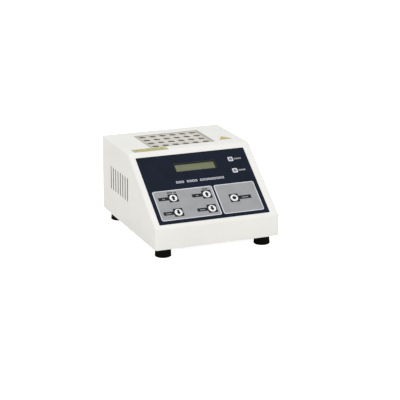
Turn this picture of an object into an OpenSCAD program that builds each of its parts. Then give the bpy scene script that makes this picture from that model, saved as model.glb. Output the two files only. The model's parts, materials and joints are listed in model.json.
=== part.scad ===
// Dry block heater. A wedge-shaped sheet-metal enclosure stands on four rubber feet. Its flat top holds
// a drilled aluminium block for tubes, and its sloping front holds a display, two lamps and five keys.
// Origin: on the bench, under the middle of the enclosure. The front faces -Y, and +Z is up.

/* [Enclosure] */
// Width of the enclosure
case_w = 204; // [200:1:220]
// Depth of the enclosure
case_d = 240; // [238:1:250]
// Height of the enclosure, without its feet
case_h = 121; // [119:1:128]
// Height of the upright front edge
apron_h = 33; // [31:1:36]
// Depth of the flat top
top_d = 122; // [120:1:126]
// Outer radius of the folded edges
edge_r = 3.5; // [2.5:0.5:4.5]
// Thickness of the sheet metal
sheet_t = 1.2; // [1:0.1:1.5]
// Height of the enclosure above the bench
foot_h = 15.2; // [14.2:0.5:16.2]
// Distance of the rear panel inside the rear edge
rear_recess = 10; // [9:1:12]

/* [Side slots] */
// Number of ventilation slots on each side
slot_count = 8; // [2:1:8]
// Distance between neighbouring slots
slot_pitch = 10.95; // [8:0.05:11]
// Height of a slot
slot_l = 38; // [20:1:44]
// Width of a slot
slot_w = 3.5; // [2.5:0.1:5]
// Height of the slots' centre above the enclosure's bottom edge
slot_rise = 61.5; // [50:0.5:65]

/* [Heating block] */
// Place of the opening's middle across the top
bay_x = -2.4; // [-4:0.1:2]
// Width of the opening in the top
bay_w = 110; // [108:0.5:112]
// Depth of the opening in the top
bay_d = 79; // [77:0.5:79.5]
// Distance from the opening to the rear edge of the top
bay_margin = 23.4; // [23:0.1:24]
// Air space round the block
block_gap = 1; // [0.5:0.1:1.5]
// Depth of the block's top face below the enclosure's top
block_recess = 0.8; // [0.6:0.1:3]
// Height of the block
block_h = 46.2; // [42:0.2:48]
// Columns of wells across the block
well_cols = 6; // [1:1:6]
// Rows of wells from front to back
well_rows = 4; // [1:1:4]
// Distance between neighbouring columns
col_pitch = 17.2; // [14:0.1:17.4]
// Distance between neighbouring rows
row_pitch = 19.4; // [14:0.1:19.6]
// Radius of a well
well_r = 5.5; // [3:0.1:5.8]
// Depth of a well's straight wall
well_depth = 38; // [20:1:38]

/* [Keypad] */
// Width of the keypad overlay
overlay_w = 181.2; // [178:0.2:184]
// Height of the keypad overlay along the slope
overlay_h = 129; // [126:0.2:131]
// Distance from the front fold up to the overlay
overlay_rise = 7.2; // [6:0.2:9]
// Thickness of the overlay film
overlay_t = 0.4; // [0.2:0.1:0.5]
// Radius of a key
key_r = 6.15; // [5:0.05:6.5]
// How far a key travels
key_travel = 0.5; // [0.3:0.1:0.5]
// Side of a lamp window
lamp_side = 8; // [6:0.5:9]

/* [Rear fittings] */
// Height of the rear fittings' centre line above the bench
rear_z = 44; // [40:1:50]
// Place of the mains inlet across the rear panel
inlet_x = 60; // [58:1:64]
// Place of the power switch across the rear panel
switch_x = 20; // [16:1:24]
// Place of the fuse across the rear panel
fuse_x = -12; // [-20:1:-10]

/* [Hidden] */

// Curves
fine = 64;
round = 32;
// Overshoot of a cutter past the face it cuts
over = 1;
// Radial play of a screw's thread in its tapped hole, and of its shank in a clearance hole
thread_play = 0.05;
shank_play = 0.2;
m3_r = 1.5;
m4_r = 2;
pan_h = 2;
// Air under a sheet that a part hangs from or rises to
touch = 0.05;

// Enclosure
case_top = foot_h + case_h;
front_y = -case_d / 2;
back_y = case_d / 2;
fold_z = foot_h + apron_h;
slope_rise = case_h - apron_h;
slope_run = case_d - top_d;
slope_a = atan(slope_rise / slope_run);
base_z = foot_h + 0.2;
base_t = 1.5;
base_top = base_z + base_t;
base_play = 0.8;
rim_w = 10;
panel_y = back_y - rear_recess;
base_back = panel_y - sheet_t;
base_flange_h = 16;
rim_x = case_w / 2 - sheet_t - rim_w / 2;
base_screw_y = [-60, 10, 75];
front_screw_x = 55;
panel_screw_z = [45, 105];
panel_top_x = 50;
panel_foot_x = 85;
case_screw_l = 6;
slots_y = case_d / 2 - 79.15;
base_vent = [4, 30];
vent = [3, 14];
vent_pitch = 8;
vent_groups = [[-50, 75], [-50, 95], [50, 75], [50, 95]];

// Heating bay, from the block downwards
bay_y = back_y - bay_margin - bay_d / 2;
block_w = bay_w - 2 * block_gap;
block_d = bay_d - 2 * block_gap;
block_z = case_top - block_recess - block_h;
plate_t = 4;
plate_w = bay_w - 6;
plate_d = bay_d - 6.5;
plate_z = block_z - plate_t;
mat_t = 1.5;
mat_z = plate_z - mat_t;
clamp_t = 2;
clamp_z = mat_z - clamp_t;
spacer_h = 2.5;
tray_t = 1;
tray_z = clamp_z - spacer_h - tray_t;
tray_flange = 7;
clamp_at = [30, 24];
post_at = [50, 14];
lead_at = [bay_x - 18, 5];
sensor_at = [bay_x + plate_w / 2 + 1.6, -2];
jacket_t = 5.5;

// Slope: positions are [across, up from the front fold], and depths are below its outer face. Everything on
// it sits slightly left of the enclosure's middle.
slope_x = -1.4;
overlay_x = -1.3;
display_at = [-0.65, 110];
display_cut = [68.5, 16.7];
lamp_x = 60.5;
lamp_rows = [93, 115.8];
temp_x = -55.3;
time_x = -0.3;
start_at = [41.35, 41.3];
key_rows = [26.7, 54];
temp_up_at = [temp_x, key_rows[1]];
temp_down_at = [temp_x, key_rows[0]];
time_up_at = [time_x, key_rows[1]];
time_down_at = [time_x, key_rows[0]];
keys_at = [temp_up_at, temp_down_at, time_up_at, time_down_at, start_at];
key_hole_r = key_r + 0.1;
board_t = 1.6;
board_depth = 13;
board_rows = [16, 72, 128];
board_x = 78;
lcd_depth = sheet_t + 0.1;
lcd_frame_h = 7.4;
lcd_board_depth = lcd_depth + lcd_frame_h;
lcd_board = [80, 36];
lcd_window = [65, 13.4];
backlight = [69, 23, 4.2];
stem_depth = 5;
plunger_r = 1.75;
ribbon_rise = 24.5;
ribbon_depth = 22.6;
tact_side = 6;
tact_h = 3.5;

// Feet
foot_r = 12.6;
foot_top_r = 11.4;
feet_x = [slope_x - 82, slope_x + 82];
feet_y = [front_y + 18, base_back - foot_top_r];
foot_bore_depth = 6;

// Labels
label_t = 0.2;

// Rear fittings, from the panel's outer face inwards
inlet_flange = [50, 22.4];
inlet_body = [27, 19.6];
inlet_depth = 17;
rocker_r = 8.4;
rocker_w = 10.4;
rocker_y = panel_y - 2;
fuse_bore_r = 3.6;
fuse_r = 2.55;
fuse_l = 20;
cap_neck_r = 5.5;
inlet_screw_x = 20;
inlet_pin_l = 9;
switch_bezel = [15, 2.2, 21];
switch_body = [13, 17, 19.2];
switch_tab_y = [-23, -14.5];
switch_tab_z = 6;
fuse_barrel_r = 6.2;
fuse_barrel_l = 38;
fuse_tab_l = 8;
fuse_side_tab_y = -20;
tab = [6.2, 0.8];

// Transformer: width, depth and height of its laminated core, and its place on the base plate
core = [48, 18, 40];
core_leg = 8;
core_middle = 12;
core_at = [-58, -62];

// Power board: its front left corner, and its parts measured from that corner
power_board_size = [92, 62];
power_board_at = [-6, -88];
power_post_h = 8;
power_board_z = base_top + power_post_h;
power_top_z = power_board_z + board_t;
terminals_at = [26, 50];
terminals_size = [40, 9, 10];
terminals_y = power_board_at[1] + terminals_at[1] + terminals_size[1] / 2;
terminals_z = power_top_z + terminals_size[2];
header_at = [6, 23];
header_size = [26, 6, 7];

// Relay
relay_size = [45, 58, 22];
relay_at = [-32, 22];
relay_step_z = 15;
relay_post_z = base_top + relay_step_z + 2.5;

// Rounded rectangle centred on the origin
module round_rect(w, h, r) {
    square([w - 2 * r, h], center = true);
    square([w, h - 2 * r], center = true);
    for (x = [-1, 1], y = [-1, 1])
        translate([x * (w / 2 - r), y * (h / 2 - r)]) circle(r = r, $fn = fine);
}

// Places its children on the slope: x across, y up the slope from the front fold, z out of the slope
module on_slope() {
    translate([slope_x, front_y, fold_z]) rotate([slope_a, 0, 0]) children();
}

// Cylinder that runs along +Y from y to y + l, on the line through x and z
module along_y(x, y, z, l, r, sides = fine) {
    translate([x, y, z]) rotate([-90, 0, 0]) cylinder(h = l, r = r, $fn = sides);
}

// Upright pan-head screw: the head's flat side at z, the shank upwards from there
module screw_up(p, z, l, r) {
    translate([p[0], p[1], z]) cylinder(h = l, r = r, $fn = round);
    difference() {
        translate([p[0], p[1], z - pan_h]) cylinder(h = pan_h, r1 = 1.6 * r, r2 = 1.95 * r, $fn = round);
        translate([p[0], p[1], z - pan_h - over]) cylinder(h = over + 0.6 * pan_h, r = 0.8 * r, $fn = 6);
    }
}

// Upright screw driven from above: the head sits on z, the shank downwards from there
module screw_down(p, z, l, r) {
    translate([0, 0, 2 * z]) mirror([0, 0, 1]) screw_up(p, z, l, r);
}

// Screw driven into the rear panel: the head sits outside y
module screw_in(x, z, y, l, r) {
    translate([x, y, z]) rotate([90, 0, 0]) screw_up([0, 0], 0, l, r);
}

// Turns its children's Z axis to point along d
module along(d) {
    rotate([0, acos(d[2] / norm(d)), atan2(d[1], d[0])]) children();
}

// Round insulated wire through a list of points, with a slightly thicker ball at each bend. The balls are
// turned so that no stretch of wire runs through their poles.
module wire(points, r) {
    last = len(points) - 1;
    for (i = [0:last - 1]) {
        step = points[i + 1] - points[i];
        translate(points[i]) along(step) cylinder(h = norm(step), r = r, $fn = 24);
    }
    for (i = [1:1:last - 1]) translate(points[i]) rotate([35, 25, 0]) sphere(r = 1.08 * r, $fn = 24);
}

// Enclosure

// Corner centres of the side profile, edge_r inside the outer faces, with the floor left open
function profile_centres() =
    let (r = edge_r, up = r * (1 - sin(slope_a)) / cos(slope_a))
    let (along = (slope_rise - r + r * cos(slope_a)) / sin(slope_a))
    [
        [front_y + r, 0],
        [front_y + r, fold_z - r * cos(slope_a) + up * sin(slope_a)],
        [front_y + r * sin(slope_a) + along * cos(slope_a), case_top - r],
        [back_y + 2 * r, case_top - r],
        [back_y + 2 * r, 0]
    ];

module wedge(r) {
    hull() {
        for (side = [-1, 1], p = profile_centres())
            translate([side * (case_w / 2 - edge_r), p[0], p[1]]) sphere(r = r, $fn = 32);
    }
}

// Inner rim that the base plate is screwed to
module bottom_rim() {
    inner_w = case_w - 2 * (sheet_t + rim_w);
    difference() {
        translate([-case_w / 2, front_y, base_top]) cube([case_w, case_d - rear_recess - sheet_t, sheet_t]);
        translate([-inner_w / 2, front_y + sheet_t + rim_w, 0]) cube([inner_w, case_d, case_h]);
    }
}

// Inner rim that the rear panel is screwed to
module rear_rim() {
    inner_w = case_w - 2 * (sheet_t + rim_w);
    difference() {
        translate([-case_w / 2, base_back - sheet_t, base_top]) cube([case_w, sheet_t, case_h]);
        translate([-inner_w / 2, 0, 0]) cube([inner_w, case_d, case_top - sheet_t - rim_w]);
    }
}

function base_screws_at() =
    concat([for (x = [-rim_x, rim_x], y = base_screw_y) [x, y]],
        [for (x = [-front_screw_x, front_screw_x]) [x, front_y + sheet_t + rim_w / 2]]);

function panel_screws_at() =
    concat([for (x = [-rim_x, rim_x], z = panel_screw_z) [x, z]],
        [for (x = [-panel_top_x, panel_top_x]) [x, case_top - sheet_t - rim_w / 2]]);

function panel_foot_screws_at() =
    [for (x = [-panel_foot_x, 0, panel_foot_x]) [x, base_top + base_flange_h / 2]];

module side_slots() {
    straight = slot_l - slot_w;
    for (i = [0:slot_count - 1]) {
        translate([0, slots_y + (i - (slot_count - 1) / 2) * slot_pitch, foot_h + slot_rise]) {
            cube([case_w + 2 * over, slot_w, straight], center = true);
            for (z = [-1, 1]) translate([-case_w / 2 - over, 0, z * straight / 2])
                rotate([0, 90, 0]) cylinder(h = case_w + 2 * over, r = slot_w / 2, $fn = round);
        }
    }
}

// Holes through the slope for the display, the lamps and the keys
module slope_cuts(z, t) {
    translate([display_at[0], display_at[1], z + t / 2])
        cube([display_cut[0], display_cut[1], t], center = true);
    for (s = lamp_rows)
        translate([lamp_x, s, z + t / 2]) cube([lamp_side + 0.2, lamp_side + 0.2, t], center = true);
    for (p = keys_at) translate([p[0], p[1], z]) cylinder(h = t, r = key_hole_r, $fn = fine);
}

module cover() {
    color("white") difference() {
        wedge(edge_r);
        difference() {
            wedge(edge_r - sheet_t);
            bottom_rim();
            rear_rim();
        }
        translate([-case_w, -case_d, -case_h]) cube([2 * case_w, 2 * case_d, case_h + foot_h]);
        translate([-case_w, back_y, -over]) cube([2 * case_w, case_d, 2 * case_h]);
        side_slots();
        translate([bay_x - bay_w / 2, bay_y - bay_d / 2, case_top - 10]) cube([bay_w, bay_d, 20]);
        on_slope() slope_cuts(-sheet_t - 2, sheet_t + 4);
        for (p = base_screws_at())
            translate([p[0], p[1], 0]) cylinder(h = base_top + 10, r = m3_r + thread_play, $fn = round);
        for (p = panel_screws_at())
            along_y(p[0], base_back - 5, p[1], 10, m3_r + thread_play, round);
    }
}

module base_plate() {
    w = case_w - 2 * (sheet_t + base_play);
    front = front_y + sheet_t + base_play;
    color("gainsboro") difference() {
        union() {
            translate([-w / 2, front, base_z]) cube([w, base_back - front, base_t]);
            translate([-case_w / 2 + sheet_t + rim_w + 1, base_back - base_t, base_z])
                cube([case_w - 2 * (sheet_t + rim_w + 1), base_t, base_flange_h]);
        }
        for (p = base_screws_at()) drill(p, m3_r + shank_play);
        for (x = feet_x, y = feet_y) drill([x, y], m4_r + shank_play);
        for (x = [-1, 1], y = [-1, 1])
            drill([bay_x + x * post_at[0], bay_y + y * post_at[1]], m4_r + shank_play);
        for (p = panel_foot_screws_at())
            along_y(p[0], base_back - 5, p[1], 10, m3_r + thread_play, round);
        for (x = [-30:10:30])
            translate([x - base_vent[0] / 2, -10, base_z - over])
                cube([base_vent[0], base_vent[1], base_t + 2 * over]);
    }
}

// Hole through the base plate
module drill(p, r) {
    translate([p[0], p[1], base_z - over]) cylinder(h = base_t + 2 * over, r = r, $fn = round);
}

module rear_panel() {
    w = case_w - 2 * (sheet_t + base_play);
    top = case_top - sheet_t - base_play;
    color("gainsboro") difference() {
        translate([-w / 2, base_back, base_z]) cube([w, sheet_t, top - base_z]);
        translate([inlet_x, base_back, rear_z])
            cube([inlet_body[0] + 0.4, 4 * sheet_t, inlet_body[1] + 0.4], center = true);
        for (x = [-inlet_screw_x, inlet_screw_x])
            along_y(inlet_x + x, base_back - 5, rear_z, 10, m3_r + shank_play, round);
        translate([switch_x, base_back, rear_z])
            cube([switch_body[0] + 0.4, 4 * sheet_t, switch_body[2] + 0.4], center = true);
        along_y(fuse_x, base_back - 5, rear_z, 10, fuse_barrel_r + shank_play);
        for (p = concat(panel_screws_at(), panel_foot_screws_at()))
            along_y(p[0], base_back - 5, p[1], 10, m3_r + shank_play, round);
        for (at = vent_groups, i = [-2:2])
            translate([at[0] + i * vent_pitch, base_back, at[1]])
                cube([vent[0], 4 * sheet_t, vent[1]], center = true);
    }
}

module foot(x, y) {
    lip = 1.2;
    color("black") translate([x, y, 0]) difference() {
        rotate_extrude($fn = fine) {
            polygon([
                [0, 0], [foot_r - lip, 0],
                for (a = [-75:15:0]) [foot_r - lip + lip * cos(a), lip + lip * sin(a)],
                [foot_top_r + 0.3, base_z - 1.2], [foot_top_r, base_z - 0.4], [foot_top_r - 0.4, base_z],
                [0, base_z]
            ]);
        }
        translate([0, 0, -over]) cylinder(h = foot_bore_depth + over, r = 5, $fn = fine);
        translate([0, 0, -over]) cylinder(h = base_z + 2 * over, r = m4_r + shank_play, $fn = round);
    }
}

module foot_screws() {
    color("silver") {
        for (x = feet_x, y = feet_y)
            screw_up([x, y], foot_bore_depth, base_top + 5 - foot_bore_depth, m4_r);
    }
}

module foot_nuts() {
    color("silver") for (x = feet_x, y = feet_y) {
        difference() {
            translate([x, y, base_top]) cylinder(h = 3.2, r = 4.05, $fn = 6);
            translate([x, y, base_top - over]) cylinder(h = 6, r = m4_r + thread_play, $fn = round);
        }
    }
}

module base_screws() {
    color("silver") for (p = base_screws_at()) screw_up(p, base_z, case_screw_l, m3_r);
}

module panel_screws() {
    color("silver") for (p = concat(panel_screws_at(), panel_foot_screws_at()))
        screw_in(p[0], p[1], panel_y, case_screw_l, m3_r);
}

// Keypad and display

module keypad_overlay() {
    color("midnightblue") on_slope() difference() {
        translate([overlay_x, overlay_rise + overlay_h / 2, 0])
            linear_extrude(height = overlay_t) round_rect(overlay_w, overlay_h, 1);
        slope_cuts(-over, overlay_t + 2 * over);
    }
}

// Display's own board, with its backlight block, on four short posts
module display_board() {
    post_x = lcd_board[0] / 2 - 2.5;
    post_y = lcd_board[1] / 2 - 2.5;
    color("darkgreen") on_slope() translate([display_at[0], display_at[1], -lcd_board_depth]) {
        difference() {
            translate([-lcd_board[0] / 2, -lcd_board[1] / 2, -board_t])
                cube([lcd_board[0], lcd_board[1], board_t]);
            for (x = [-post_x, post_x], y = [-post_y, post_y])
                translate([x, y, -board_t - over]) cylinder(h = 4, r = 1.25, $fn = round);
        }
        translate([-backlight[0] / 2, -backlight[1] / 2, 0]) cube(backlight);
        for (x = [-post_x, post_x], y = [-post_y, post_y])
            translate([x, y, -board_depth + lcd_board_depth]) difference() {
                cylinder(h = board_depth - lcd_board_depth - board_t, r = 2.2, $fn = round);
                translate([0, 0, -over]) cylinder(h = 6, r = 1.25, $fn = round);
            }
    }
}

module display_bezel() {
    wall = 0.4;
    size = [backlight[0] + 2.3, backlight[1] + 3.3, lcd_frame_h];
    color("black") on_slope() translate([display_at[0], display_at[1], -lcd_depth - size[2]]) difference() {
        translate([-size[0] / 2, -size[1] / 2, 0]) cube(size);
        translate([-size[0] / 2 + wall, -size[1] / 2 + wall, -over])
            cube([size[0] - 2 * wall, size[1] - 2 * wall, size[2] - wall + over]);
        translate([-lcd_window[0] / 2, -lcd_window[1] / 2, 0])
            cube([lcd_window[0], lcd_window[1], size[2] + over]);
    }
}

module display_glass() {
    size = [backlight[0] + 0.6, backlight[1] + 1.4, 2.7];
    color("olivedrab") on_slope() translate([display_at[0], display_at[1], -lcd_board_depth + backlight[2]])
        translate([-size[0] / 2, -size[1] / 2, 0.02]) cube(size);
}

module control_board() {
    color("green") on_slope() {
        difference() {
            translate([-board_x - 6, board_rows[0] - 4, -board_depth - board_t])
                cube([2 * (board_x + 6), board_rows[2] - board_rows[0] + 8, board_t]);
            for (x = [-board_x, board_x], s = board_rows)
                translate([x, s, -board_depth - 3]) cylinder(h = 5, r = m3_r + shank_play, $fn = round);
        }
        translate([-7, 62, -board_depth - board_t - 2]) cube([14, 14, 2]);
        translate([40, 75, -board_depth - board_t - 7]) cylinder(h = 7, r = 6, $fn = fine);
        translate([power_board_at[0] + header_at[0], ribbon_rise - 4.5, -ribbon_depth])
            cube([header_size[0], 9, ribbon_depth - board_depth - board_t]);
    }
}

module board_spacers() {
    color("gold") on_slope() for (x = [-board_x, board_x], s = board_rows)
        translate([x, s, -board_depth]) difference() {
            cylinder(h = board_depth - sheet_t - touch, r = 3, $fn = round);
            translate([0, 0, -over]) cylinder(h = 8, r = m3_r + thread_play, $fn = round);
        }
}

module board_screws() {
    color("silver") on_slope() for (x = [-board_x, board_x], s = board_rows)
        screw_up([x, s], -board_depth - board_t, board_t + 6, m3_r);
}

// Ribbon cable between the header under the control board and the one on the power board
module ribbon_cable() {
    half = 0.5;
    inset = 1.5;
    up = [cos(slope_a), sin(slope_a)];
    down = [sin(slope_a), -cos(slope_a)];
    start = [front_y, fold_z] + ribbon_rise * up + (ribbon_depth + 0.1) * down;
    bend = start + 7 * down;
    end = [power_board_at[1] + header_at[1] + header_size[1] / 2, power_top_z + header_size[2] + 0.1];
    color("lightgray") translate([power_board_at[0] + header_at[0] + inset, 0, 0])
        rotate([90, 0, 90]) linear_extrude(height = header_size[0] - 2 * inset)
            polygon([
                start - half * up, bend - half * up, [end[0] - half, bend[1] - 2], [end[0] - half, end[1]],
                [end[0] + half, end[1]], [end[0] + half, bend[1] - 1], bend + half * up, start + half * up
            ]);
}

module switch_bodies() {
    color("dimgray") on_slope() for (p = keys_at) translate([p[0], p[1], -board_depth]) difference() {
        translate([-tact_side / 2, -tact_side / 2, 0]) cube([tact_side, tact_side, tact_h]);
        translate([0, 0, 0.5]) cylinder(h = tact_h, r = plunger_r + 0.05, $fn = round);
    }
}

// Key: a round cap through the overlay, a collar under the sheet, and a stem down to its switch
module key(p) {
    collar_z = -sheet_t - touch;
    face_z = overlay_t + 0.5;
    color("white") on_slope() translate([p[0], p[1], 0]) {
        rotate_extrude($fn = fine) polygon([
            [0, -stem_depth], [2.2, -stem_depth], [2.2, collar_z - 1], [key_r + 1, collar_z - 1],
            [key_r + 1, collar_z], [key_r, collar_z], [key_r, face_z - 0.3], [key_r - 0.1, face_z - 0.1],
            [key_r - 0.4, face_z], [0, face_z]
        ]);
    }
}

module plunger(p) {
    rest_gap = key_travel + 0.1;
    color("black") on_slope() translate([p[0], p[1], -board_depth + 0.5 + rest_gap])
        cylinder(h = board_depth - stem_depth - 0.5 - rest_gap, r = plunger_r, $fn = round);
}

// Square lamp window on a light pipe that stands on the control board
module lamp(s, tint) {
    color(tint) on_slope() translate([lamp_x, s, 0]) {
        translate([-lamp_side / 2, -lamp_side / 2, -4]) cube([lamp_side, lamp_side, 4 + overlay_t + 0.2]);
        translate([0, 0, -board_depth]) cylinder(h = board_depth - 4, r = 2.5, $fn = round);
    }
}

// Heating bay

module heating_block() {
    bottom = block_h - well_depth;
    tip_h = 2.5;
    color("silver") difference() {
        translate([bay_x - block_w / 2, bay_y - block_d / 2, block_z]) cube([block_w, block_d, block_h]);
        for (i = [0:well_cols - 1], j = [0:well_rows - 1])
            translate([bay_x + (i - (well_cols - 1) / 2) * col_pitch,
                bay_y + (j - (well_rows - 1) / 2) * row_pitch, block_z]) {
                translate([0, 0, bottom]) cylinder(h = well_depth + over, r = well_r, $fn = fine);
                translate([0, 0, bottom - tip_h]) cylinder(h = tip_h, r1 = 1.5, r2 = well_r, $fn = fine);
                translate([0, 0, block_h - 0.5]) cylinder(h = 1, r1 = well_r, r2 = well_r + 1, $fn = fine);
            }
    }
}

module block_tray() {
    top = case_top - sheet_t - touch;
    color("darkkhaki") difference() {
        union() {
            translate([bay_x - bay_w / 2 - tray_t, bay_y - bay_d / 2 - tray_t, tray_z])
                cube([bay_w + 2 * tray_t, bay_d + 2 * tray_t, top - tray_z]);
            translate([bay_x - bay_w / 2 - tray_flange, bay_y - bay_d / 2 - tray_flange, top - tray_t])
                cube([bay_w + 2 * tray_flange, bay_d + 2 * tray_flange, tray_t]);
        }
        translate([bay_x - bay_w / 2, bay_y - bay_d / 2, tray_z + tray_t]) cube([bay_w, bay_d, case_h]);
        for (x = [-1, 1], y = [-1, 1]) {
            translate([bay_x + x * post_at[0], bay_y + y * post_at[1], tray_z - over])
                cylinder(h = 4, r = m4_r + shank_play, $fn = round);
            translate([bay_x + x * clamp_at[0], bay_y + y * clamp_at[1], tray_z - over])
                cylinder(h = 4, r = m3_r + shank_play, $fn = round);
        }
        translate([bay_x, bay_y, tray_z - over]) cylinder(h = 4, r = 9, $fn = fine);
        for (y = [-1, 1])
            translate([lead_at[0], bay_y + y * lead_at[1], tray_z - over])
                cylinder(h = 4, r = 2, $fn = round);
        translate([sensor_at[0], bay_y + sensor_at[1], tray_z - over]) cylinder(h = 4, r = 1.2, $fn = round);
    }
}

// Plate of the heater stack, with holes for the clamp screws
module stack_plate(z, t, hole_r, hole_top) {
    difference() {
        translate([bay_x - plate_w / 2, bay_y - plate_d / 2, z]) cube([plate_w, plate_d, t]);
        for (x = [-1, 1], y = [-1, 1])
            translate([bay_x + x * clamp_at[0], bay_y + y * clamp_at[1], z - over])
                cylinder(h = hole_top + over, r = hole_r, $fn = round);
    }
}

module heater_plate() {
    color("silver") difference() {
        stack_plate(plate_z, plate_t, m3_r + thread_play, plate_t - 1);
        translate([bay_x + plate_w / 2 - 30, bay_y + sensor_at[1], plate_z + plate_t / 2])
            rotate([0, 90, 0]) cylinder(h = 40, r = 1.25, $fn = round);
    }
}

module heater_mat() {
    color("orangered") stack_plate(mat_z, mat_t, m3_r + shank_play, mat_t + over);
}

module clamp_plate() {
    color("gray") difference() {
        stack_plate(clamp_z, clamp_t, m3_r + shank_play, clamp_t + over);
        for (y = [-1, 1])
            translate([lead_at[0], bay_y + y * lead_at[1], clamp_z - over])
                cylinder(h = 4, r = 2, $fn = round);
    }
}

module heater_spacers() {
    color("ivory") for (x = [-1, 1], y = [-1, 1])
        translate([bay_x + x * clamp_at[0], bay_y + y * clamp_at[1], tray_z + tray_t]) difference() {
            cylinder(h = spacer_h, r = 3.5, $fn = round);
            translate([0, 0, -over]) cylinder(h = spacer_h + 2 * over, r = m3_r + shank_play, $fn = round);
        }
}

module clamp_screws() {
    color("silver") for (x = [-1, 1], y = [-1, 1])
        screw_up([bay_x + x * clamp_at[0], bay_y + y * clamp_at[1]], tray_z, plate_z + 2.5 - tray_z, m3_r);
}

module temperature_sensor() {
    z = plate_z + plate_t / 2;
    y = bay_y + sensor_at[1];
    color("lightgray") {
        translate([bay_x + plate_w / 2 - 29, y, z]) rotate([0, 90, 0]) cylinder(h = 29, r = 1.2, $fn = round);
        wire([[bay_x + plate_w / 2 - 1, y, z], [sensor_at[0], y, z], [sensor_at[0], y, 66],
            [sensor_at[0] + 12, -10, 48], [terminals_x(34), terminals_y, terminals_z + 0.8]], 0.7);
    }
}

module thermal_cutout() {
    color("dimgray") translate([bay_x, bay_y, 0]) {
        translate([0, 0, clamp_z - 8]) cylinder(h = 8, r = 8, $fn = fine);
        for (x = [-1, 1]) translate([x * 5 - 0.4, -3, clamp_z - 16]) cube([0.8, 6, 9]);
    }
}

module insulation_jacket() {
    inner = tray_t + 0.2;
    outer = inner + jacket_t;
    bottom = tray_z - 2;
    color("khaki") difference() {
        translate([bay_x - bay_w / 2 - outer, bay_y - bay_d / 2 - outer, bottom])
            cube([bay_w + 2 * outer, bay_d + 2 * outer, case_top - sheet_t - tray_t - 0.2 - bottom]);
        translate([bay_x - bay_w / 2 - inner, bay_y - bay_d / 2 - inner, bottom - over])
            cube([bay_w + 2 * inner, bay_d + 2 * inner, case_h]);
    }
}

module tray_posts() {
    color("silver") for (x = [-1, 1], y = [-1, 1])
        translate([bay_x + x * post_at[0], bay_y + y * post_at[1], base_top]) difference() {
            cylinder(h = tray_z - base_top, r = 4.6, $fn = 6);
            for (z = [-over, tray_z - base_top - 12])
                translate([0, 0, z]) cylinder(h = 12 + over, r = m4_r + thread_play, $fn = round);
        }
}

module tray_screws() {
    color("silver") for (x = [-1, 1], y = [-1, 1]) {
        screw_up([bay_x + x * post_at[0], bay_y + y * post_at[1]], base_z, base_t + 8, m4_r);
        screw_down([bay_x + x * post_at[0], bay_y + y * post_at[1]], tray_z + tray_t, tray_t + 8, m4_r);
    }
}

// Rear fittings

// Outline of the inlet's socket: a rectangle with two corners cut off
module socket_outline(w, h, cut) {
    polygon([[-w / 2, -h / 2], [w / 2, -h / 2], [w / 2, h / 2 - cut], [w / 2 - cut, h / 2],
        [-w / 2 + cut, h / 2], [-w / 2, h / 2 - cut]]);
}

function inlet_pins_at() = [[-7, -2], [7, -2], [0, 2]];

module mains_inlet() {
    color("black") translate([inlet_x, panel_y, rear_z]) difference() {
        union() {
            rotate([-90, 0, 0]) linear_extrude(height = 2.4)
                round_rect(inlet_flange[0], inlet_flange[1], 4);
            translate([-inlet_body[0] / 2, -inlet_depth - 1, -inlet_body[1] / 2])
                cube([inlet_body[0], inlet_depth + 1.5, inlet_body[1]]);
        }
        translate([0, -inlet_depth + 1.5, 0]) mirror([0, 0, 1]) rotate([-90, 0, 0])
            linear_extrude(height = 30) socket_outline(24.2, 16.4, 4.6);
        for (p = inlet_pins_at())
            translate([p[0], -inlet_depth, p[1]]) cube([2.2, 8, 4.2], center = true);
        for (x = [-inlet_screw_x, inlet_screw_x]) {
            along_y(x, -over, 0, 6, m3_r + shank_play, round);
            along_y(x, 0.8, 0, 6, 3.2, round);
        }
    }
}

module inlet_pins() {
    color("silver") translate([inlet_x, panel_y, rear_z]) {
        for (p = inlet_pins_at())
            translate([p[0] - 1, -inlet_depth - inlet_pin_l, p[1] - 2])
                cube([2, inlet_depth + inlet_pin_l - 2, 4]);
    }
}

// Circle of the rocker's travel about its pivot, seen from the side
module rocker_space(r, w) {
    translate([-w / 2, 0, 0]) rotate([90, 0, 90]) linear_extrude(height = w) circle(r = r, $fn = fine);
}

module switch_housing() {
    face = panel_y - rocker_y;
    color("black") translate([switch_x, rocker_y, rear_z]) difference() {
        union() {
            translate([-switch_bezel[0] / 2, face, -switch_bezel[2] / 2]) cube(switch_bezel);
            translate([-switch_body[0] / 2, face - switch_body[1], -switch_body[2] / 2]) cube(switch_body);
            for (z = [-switch_tab_z, switch_tab_z])
                translate([-tab[0] / 2, switch_tab_y[0], z - tab[1] / 2])
                    cube([tab[0], switch_tab_y[1] - switch_tab_y[0], tab[1]]);
        }
        rocker_space(rocker_r + 0.1, rocker_w + 0.2);
        translate([-rocker_w / 2 - 0.1, 0, -rocker_r - 0.1])
            cube([rocker_w + 0.2, 10, 2 * rocker_r + 0.2]);
        translate([-rocker_w, 0, 0]) rotate([0, 90, 0]) cylinder(h = 2 * rocker_w, r = 0.65, $fn = round);
    }
}

// Rocker at rest, switched off: tilted so that its upper end stands out
module switch_rocker() {
    tilt = -10;
    color("black") translate([switch_x, rocker_y, rear_z]) rotate([tilt, 0, 0]) {
        intersection() {
            rocker_space(rocker_r, rocker_w);
            translate([-rocker_w / 2, 0, 0]) rotate([90, 0, 90]) linear_extrude(height = rocker_w)
                polygon([[-4, -9], [4.1, -9], [5.2, 0], [4.1, 9], [-4, 9]]);
        }
        translate([-rocker_w / 2 - 0.9, 0, 0]) rotate([0, 90, 0])
            cylinder(h = rocker_w + 1.8, r = 0.6, $fn = round);
    }
}

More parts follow.
